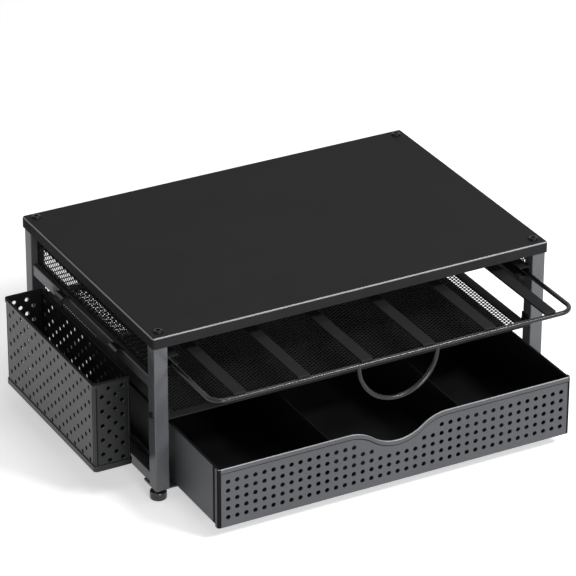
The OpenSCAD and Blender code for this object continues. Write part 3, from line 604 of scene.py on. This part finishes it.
def foot(name, low, high):
    """A pad with a round edge and a neck, and the threaded stud on it, between two corners."""
    x, y = (low.x + high.x) / 2, (low.y + high.y) / 2
    pad_r = (high.x - low.x) / 2
    deselect()
    bpy.ops.mesh.primitive_cylinder_add(vertices=48, radius=pad_r, depth=PAD_H,
                                        location=(x, y, low.z + PAD_H / 2))
    piece = bpy.context.object
    piece.name = name
    bpy.ops.object.transform_apply(location=True, rotation=True, scale=True)
    edit(piece)
    pick(piece, "EDGE", lambda e: not along(e, 2))
    bpy.ops.mesh.bevel(offset=PAD_EDGE, segments=5, affect="EDGES")
    pick(piece, "FACE", lambda f: f.normal.z < -0.999)
    bpy.ops.mesh.inset(thickness=PAD_RING)
    bpy.ops.mesh.extrude_region_move(TRANSFORM_OT_translate={"value": (0, 0, PAD_HOLLOW)})
    pick(piece, "FACE", lambda f: f.normal.z > 0.999)
    bpy.ops.mesh.inset(thickness=pad_r - PAD_EDGE - NECK_R)
    bpy.ops.mesh.extrude_region_move(TRANSFORM_OT_translate={"value": (0, 0, NECK_H)})
    bpy.ops.mesh.inset(thickness=NECK_RING)
    bpy.ops.object.mode_set(mode="OBJECT")
    soften(piece, PAD_SOFT)
    # The stud's thread: one tooth, wound up round the stud
    turns = int((high.z - low.z - PAD_H - NECK_H) / THREAD_PITCH)
    tooth = bpy.data.objects.new("tooth", bpy.data.meshes.new("tooth"))
    bpy.context.scene.collection.objects.link(tooth)
    tooth.data.from_pydata([(THREAD_ROOT, 0, 0), (STUD_R, 0, THREAD_PITCH * 0.45),
                            (STUD_R, 0, THREAD_PITCH * 0.55), (THREAD_ROOT, 0, THREAD_PITCH)],
                           [(0, 1), (1, 2), (2, 3)], [])
    modify(tooth, "SCREW", steps=24, render_steps=24, screw_offset=THREAD_PITCH,
           iterations=turns, use_merge_vertices=True, merge_threshold=0.01 * MM)
    tooth.data.transform(Matrix.Translation((x, y, low.z + PAD_H + NECK_H - 0.1 * MM)))
    return piece, tooth


for n, corner in enumerate(("front_left", "front_right", "rear_left", "rear_right"), 1):
    node = "foot_" + corner
    pad, stud = foot("foot_pad_" + corner, *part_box(node))
    stud.name = "foot_stud_" + corner
    done(pad, f"foot_{n}", grey_nylon, node)
    done(stud, f"foot_{n}", black_oxide, node)

# ---- Top plate ----
# One sheet folded down into a rim on all four sides, its corners welded and ground round.
# The machine stands on it. It is screwed to the legs through its corners.
PLATE_SHEET = 1.2 * MM
PLATE_BEND = 2 * MM
PLATE_SOFT = 0.3 * MM
COAT_FOLD_HIGHLIGHT = "#747678"

# A painted highlight: a thin pale line along each fold, in a glossier coat than the matt black
fold_highlight_coat = powder_coat("painted_highlight_powder_coat_on_bends", COAT_FOLD_HIGHLIGHT, roughness=0.42,
                          tone=0.08, peel=0.1, shine=0.5)
low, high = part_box("top_plate")
plate = folded("top_sheet", low, high, ("+z", "+x", "-x", "+y", "-y"), PLATE_BEND, PLATE_SHEET)
soften(plate, PLATE_SOFT)
# The folds' painted highlight, on the faces that lean between up and out
accent(plate, black_coat, fold_highlight_coat,
       lambda c, n: c.z > high.z - PLATE_BEND and 0.3 < n.z < 0.75)
done(plate, "stand", black_coat, "top_plate")

# ---- Drawer ----
# A tray folded from one sheet with hemmed walls, two dividers spot-welded to its floor, and a
# perforated front with a finger scoop whose edge has a raised band.
DRAWER_SHEET = 1 * MM
TRAY_BEND = 1.5 * MM
HEM = 5 * MM
HEM_SOFT = 0.4 * MM
SEAM_SHADOW = 5.4 * MM
BAND_T = 0.5 * MM
CREASE = 0.9 * MM
CREASE_DEPTH = 0.5 * MM
BEND_FROM = 0.3 * MM
HIGHLIGHT_LIP = 0.35 * MM
FRONT_SOFT = 0.12 * MM
COAT_SHEET_PAINTED_LIT = "#4c4d50"
COAT_FRONT_PAINTED_SHADE = "#47484b"
COAT_EDGE_HIGHLIGHT = "#b8babc"
COAT_PAINTED_SHADE = "#1b1b1c"

# Satin powder coat in the tubes' grey, painted light as on the tubes, laid on thinner, so that
# its shine is duller
sheet_coat_painted_lit = powder_coat("satin_powder_coat_on_sheet", COAT_SHEET_PAINTED_LIT, roughness=0.45, tone=0.05,
                         peel=0.2, shine=0.3)
# The same coat on the front, a shade darker as painted shade
front_coat_painted_shade = powder_coat("satin_powder_coat_on_front", COAT_FRONT_PAINTED_SHADE, roughness=0.45, tone=0.05,
                         peel=0.2, shine=0.3)
# A painted highlight: a pale coat on the front's top edge, where light catches it
edge_highlight_coat = powder_coat("painted_highlight_powder_coat_on_edge", COAT_EDGE_HIGHLIGHT, roughness=0.35, tone=0.1,
                        peel=0.1, shine=0.5)
# Painted shade: matt black for the insides, creases and seams, where shade falls
painted_shade_coat = powder_coat("painted_shade_powder_coat", COAT_PAINTED_SHADE, roughness=0.5, tone=0.05,
                        peel=0.25, shine=0.02)

low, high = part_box("drawer_tray")
tray = folded("drawer_tray_sheet", low, high, ("-z", "+y", "-x", "+x"), TRAY_BEND,
              DRAWER_SHEET)
# The hem folded over inside the walls
edit(tray)
bpy.ops.mesh.select_all(action="SELECT")
bpy.ops.mesh.bisect(plane_co=(0, 0, high.z - HEM), plane_no=(0, 0, 1))
heart = Vector(((low.x + high.x) / 2, (low.y + high.y) / 2, high.z - HEM / 2))
pick(tray, "FACE", lambda f: f.calc_center_median().z > high.z - HEM
     and abs(f.normal.z) < 0.1 and f.calc_center_median().y > low.y + NEAR
     and f.normal.dot(heart - f.calc_center_median()) > 0)
bpy.ops.mesh.extrude_region_shrink_fatten(TRANSFORM_OT_shrink_fatten={"value": DRAWER_SHEET})
# A painted shadow along the seam between each wall and the end of the front's return
return_end_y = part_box("drawer_front")[1].y
for y in (return_end_y, return_end_y + SEAM_SHADOW):
    bpy.ops.mesh.select_all(action="SELECT")
    bpy.ops.mesh.bisect(plane_co=(0, y, 0), plane_no=(0, 1, 0))
bpy.ops.object.mode_set(mode="OBJECT")
soften(tray, HEM_SOFT)


def in_tray_painted_shade(centre, normal):
    """Whether a face gets painted shade: on the hems' tops, the seams or the tray's inside."""
    return (centre.z > high.z - 2 * HEM_SOFT
            or abs(normal.x) > 0.9 and return_end_y < centre.y < return_end_y + SEAM_SHADOW
            or normal.x * (heart.x - centre.x) > 0.01 * MM or normal.y < -0.9 or normal.z > 0.5)


# Painted shade on the hems' tops, the seams and the tray's inside
accent(tray, sheet_coat_painted_lit, painted_shade_coat, in_tray_painted_shade)
done(tray, "drawer", sheet_coat_painted_lit, "drawer_tray")

# The dividers take the dark coat of the painted shade all over
for side in ("left", "right"):
    node = "drawer_divider_" + side
    divider = skin(node, "drawer_divider_sheet_" + side)
    soften(divider, EDGE_SOFT)
    done(divider, "drawer", painted_shade_coat, node)

# The front: a crease runs round its flat face, at the foot of the band and beside the bends
front = skin("drawer_front", "drawer_front_sheet")
low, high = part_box("drawer_front")
middle_x = (low.x + high.x) / 2
face_y = low.y + BAND_T
back_y = low.y + BAND_T + DRAWER_SHEET
edit(front)
pick(front, "FACE", lambda f: f.normal.y < -0.99
     and abs(f.calc_center_median().y - face_y) < NEAR)
bend_x = max(abs(v.co.x - middle_x)
             for v in bmesh.from_edit_mesh(front.data).verts if v.select)
bpy.ops.mesh.inset(thickness=CREASE, use_boundary=True)


def in_crease(vert):
    """Whether a vertex lies at the foot of the band or where a bend starts."""
    return abs(vert.co.y - face_y) < NEAR and (
        abs(abs(vert.co.x - middle_x) - bend_x) < NEAR / 2
        or any(f.calc_center_median().y < face_y - NEAR and abs(f.normal.y) < 0.5
               for f in vert.link_faces))


def in_front_painted_shade(centre, normal):
    """Whether a face gets painted shade: on the front's inside, in its crease or on the slant of
    its bends.
    """
    return (normal.y > 0.5
            or face_y < centre.y < face_y + CREASE_DEPTH and -0.98 < normal.y < -0.3
            or centre.y > low.y + BEND_FROM and normal.y < -0.3 and 0.35 < abs(normal.x) < 0.95)


def on_highlit_edge(centre, normal):
    """Whether a face gets the painted highlight: on the top edge of the sheet and the band,
    between the bends.
    """
    return (normal.z > 0.4 and abs(normal.y) < 0.1 and abs(centre.x - middle_x) < bend_x
            and centre.y < back_y
            and (centre.z > high.z - NEAR / 2 or centre.y < face_y + HIGHLIGHT_LIP))


pick(front, "VERT", in_crease)
bpy.ops.transform.translate(value=(0, CREASE_DEPTH, 0))
# A cut behind the sheet parts its top edge from the return, which gets no painted highlight
bpy.ops.mesh.select_all(action="SELECT")
bpy.ops.mesh.bisect(plane_co=(0, back_y, 0), plane_no=(0, 1, 0))
bpy.ops.object.mode_set(mode="OBJECT")
# Painted shade on the front's inside, crease and bend slants, and a painted highlight on its top
# edge
accent(front, front_coat_painted_shade, painted_shade_coat, in_front_painted_shade)
accent(front, front_coat_painted_shade, edge_highlight_coat, on_highlit_edge)
soften(front, FRONT_SOFT)
done(front, "drawer", front_coat_painted_shade, "drawer_front")

# ---- Wire rack ----
# Round wire bent into a frame and butt-welded, with a half-round pull under its front and six
# flat strips across it. The pods hang by their rims between two strips.
WIRE_R = 2 * MM
WIRE_BEND = 12 * MM
STRIP_SOFT = 0.35 * MM
COAT_WIRE = "#0c0c0d"

# Powder on round wire flows out smooth, so the wire is glossier than the sheets
wire_coat = powder_coat("gloss_powder_coat_on_wire", COAT_WIRE, roughness=0.22, tone=0.05,
                        peel=0.1, shine=0.36)


def wire(piece, radius):
    """Turns a piece's edges into round wire."""
    deselect()
    piece.select_set(True)
    bpy.context.view_layer.objects.active = piece
    bpy.ops.object.convert(target="CURVE")
    piece = bpy.context.object
    piece.data.bevel_depth = radius
    piece.data.bevel_resolution = 5
    piece.data.use_fill_caps = True
    bpy.ops.object.convert(target="MESH")
    piece = bpy.context.object
    edit(piece)
    bpy.ops.mesh.select_all(action="SELECT")
    bpy.ops.mesh.remove_doubles(threshold=0.005 * MM)
    bpy.ops.mesh.normals_make_consistent(inside=False)
    bpy.ops.object.mode_set(mode="OBJECT")
    bpy.ops.object.shade_smooth_by_angle(angle=radians(50))
    return piece


low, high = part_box("rack_wire")
wire_z = (low.z + high.z) / 2
hoop = block("rack_frame_wire", (low.x + WIRE_R, low.y + WIRE_R, wire_z - 1 * MM),
             (high.x - WIRE_R, high.y - WIRE_R, wire_z))
edit(hoop)
pick(hoop, "FACE", lambda f: f.normal.z < 0.9)
bpy.ops.mesh.delete(type="FACE")
bpy.ops.mesh.select_all(action="SELECT")
bpy.ops.mesh.bevel(offset=WIRE_BEND, segments=12, affect="VERTICES")
bpy.ops.mesh.delete(type="ONLY_FACE")
hoop = wire(hoop, WIRE_R)
done(hoop, "rack", wire_coat, "rack_wire")

# The pull: a half round with straight ends that meet the front rod
front_rod = Vector(((low.x + high.x) / 2, low.y + WIRE_R, wire_z))
low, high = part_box("rack_handle")
pull_r = (high.x - low.x) / 2 - WIRE_R
deselect()
bpy.ops.mesh.primitive_circle_add(vertices=96, radius=pull_r, rotation=(radians(90), 0, 0),
                                  location=(front_rod.x, front_rod.y, low.z + WIRE_R + pull_r))
pull = bpy.context.object
pull.name = "rack_pull"
bpy.ops.object.transform_apply(location=True, rotation=True, scale=True)
edit(pull)
pick(pull, "VERT", lambda v: v.co.z > low.z + WIRE_R + pull_r + NEAR)
bpy.ops.mesh.delete(type="VERT")
pick(pull, "VERT", lambda v: len(v.link_edges) == 1)
bpy.ops.mesh.extrude_region_move(TRANSFORM_OT_translate={
    "value": (0, 0, front_rod.z - low.z - WIRE_R - pull_r)})
bpy.ops.object.mode_set(mode="OBJECT")
pull = wire(pull, WIRE_R)
done(pull, "rack", wire_coat, "rack_handle")

for number in range(1, 7):
    node = f"rack_strip_{number}"
    strip = block(f"rack_flat_strip_{number}", *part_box(node))
    soften(strip, STRIP_SOFT)
    done(strip, "rack", black_coat, node)

# ---- Basket ----
# Perforated sheet folded and welded into a narrow box, with a turned-up floor, a folded rim
# and two hooks of flat strip that drop into the slots of the middle rail.
BASKET_CREASE_SHADE = 0.9 * MM
BASKET_SOFT = 0.2 * MM
RIM_LIP = 1.5 * MM
RIM_SOFT = 0.3 * MM
COAT_BASKET = "#101112"

# Satin powder coat in black, which takes its grey from what it reflects
basket_coat = powder_coat("satin_black_powder_coat", COAT_BASKET, roughness=0.28, tone=0.05,
                          peel=0.2, shine=0.4)


def cut_across(piece, axis, *planes):
    """Cuts a piece's faces across, so that the strip past each cut can take its own material."""
    edit(piece)
    for place in planes:
        bpy.ops.mesh.select_all(action="SELECT")
        bpy.ops.mesh.bisect(plane_co=[place if i == axis else 0 for i in range(3)],
                            plane_no=[float(i == axis) for i in range(3)])
    bpy.ops.object.mode_set(mode="OBJECT")


for part, axis in (("outer_wall", 1), ("inner_wall", 1), ("front_wall", 0), ("rear_wall", 0)):
    node = "basket_" + part
    piece = skin(node, f"basket_{part}_sheet")
    low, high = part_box(node)
    ends = low[axis] + BASKET_CREASE_SHADE, high[axis] - BASKET_CREASE_SHADE
    cut_across(piece, axis, *ends)
    soften(piece, BASKET_SOFT)
    inward = 1 if part in ("outer_wall", "front_wall") else -1
    # Painted shade on the strips beside the folds at the walls' ends and on the walls' insides
    accent(piece, basket_coat, painted_shade_coat,
           lambda c, n: not ends[0] < c[axis] < ends[1] or inward * n[1 - axis] > 0.5)
    done(piece, "basket", basket_coat, node)

rim = skin("basket_rim", "basket_rim_sheet")
rim_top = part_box("basket_rim")[1].z
cut_across(rim, 2, rim_top - RIM_LIP)
soften(rim, RIM_SOFT)
# The top of the rim's lip takes the same dark coat as the painted shade
accent(rim, basket_coat, painted_shade_coat, lambda c, n: c.z > rim_top - RIM_LIP)
done(rim, "basket", basket_coat, "basket_rim")

for part in ("corners", "floor", "hooks"):
    node = "basket_" + part
    piece = skin(node, f"basket_{part}_sheet")
    soften(piece, EDGE_SOFT)
    done(piece, "basket", basket_coat, node)

# ---- Room ----
# A pale floor in an evenly white room. Soft boxes stand in front, at the right and overhead,
# and a narrow one in front at the right draws a line of light on folds and wires.
FLOOR = "#f0f0f0"
FLOOR_SIZE = 12
# The glow that the floor has, and the diffuse light that the room gives, beside the lamps
FLOOR_LIFT = 0.5
ROOM_DIFFUSE = 0.15
LENS = 231.18
SENSOR = 36
CAMERA_REACH = 50
EYE = (-1.26538, -2.35717, 1.51413)
LOOK_AT = Vector((-0.02244, -0.04796, 0.14333))
ROLL = radians(0.16)


def seen_rays(tree):
    """1 for the rays by which the camera, gloss and glass see the room, 0 for diffuse light."""
    rays = add_node(tree, "LightPath").outputs
    total = add_node(tree, "Math", links={0: rays["Is Camera Ray"], 1: rays["Is Glossy Ray"]},
                     operation="ADD")
    total = add_node(tree, "Math", links={0: total.outputs["Value"],
                                          1: rays["Is Transmission Ray"]}, operation="ADD")
    return total.outputs["Value"]


deselect()
bpy.ops.mesh.primitive_plane_add(size=FLOOR_SIZE, location=(0, 0, 0))
floor = bpy.context.object
floor.name = "floor"
floor_paint = bpy.data.materials.new("matt_white_floor")
floor_paint.use_nodes = True
tree = floor_paint.node_tree
paint = tree.nodes["Principled BSDF"]
paint.inputs["Base Color"].default_value = linear(FLOOR)
paint.inputs["Roughness"].default_value = 0.9
paint.inputs["Specular IOR Level"].default_value = 0.1
paint.inputs["Emission Color"].default_value = (1, 1, 1, 1)
glow = add_node(tree, "Math", {1: FLOOR_LIFT}, {0: seen_rays(tree)}, operation="MULTIPLY")
tree.links.new(glow.outputs["Value"], paint.inputs["Emission Strength"])
floor.data.materials.append(floor_paint)

world = bpy.data.worlds.new("white_room")
bpy.context.scene.world = world
world.use_nodes = True
tree = world.node_tree
level = add_node(tree, "MapRange", {"To Min": ROOM_DIFFUSE, "To Max": 1.0},
                 {"Value": seen_rays(tree)})
tree.links.new(level.outputs["Result"], tree.nodes["Background"].inputs["Strength"])
tree.nodes["Background"].inputs["Color"].default_value = (1, 1, 1, 1)


def soft_box(name, place, aim, width, height, watts):
    """A soft lamp that shines from one point of the room at another."""
    data = bpy.data.lights.new(name, "AREA")
    data.shape = "RECTANGLE"
    data.size = width
    data.size_y = height
    data.energy = watts
    lamp = bpy.data.objects.new(name, data)
    bpy.context.scene.collection.objects.link(lamp)
    lamp.location = place
    lamp.rotation_euler = (Vector(aim) - Vector(place)).to_track_quat("-Z", "Y").to_euler()


soft_box("front_box", (-0.3, -2.3, 0.45), (0, 0, 0.08), width=0.8, height=0.7, watts=28)
soft_box("right_box", (1.3, -2.0, 0.8), (0, 0, 0.08), width=1.4, height=0.9, watts=6)
soft_box("top_box", (0.3, -0.3, 2.2), (0, 0, 0.1), width=1.2, height=1.2, watts=14)
soft_box("strip_box", (0.92, -1.32, 1.5), (0, 0, 0.1), width=0.7, height=0.16, watts=30)

scene = bpy.context.scene
scene.view_settings.view_transform = "Standard"
camera = bpy.data.objects.new("camera", bpy.data.cameras.new("camera"))
scene.collection.objects.link(camera)
camera.data.lens = LENS
camera.data.sensor_width = SENSOR
camera.data.clip_end = CAMERA_REACH
camera.location = EYE
turn = (LOOK_AT - Vector(EYE)).to_track_quat("-Z", "Y").to_matrix().to_4x4()
camera.rotation_euler = (turn @ Matrix.Rotation(ROLL, 4, "Z")).to_euler()
scene.camera = camera
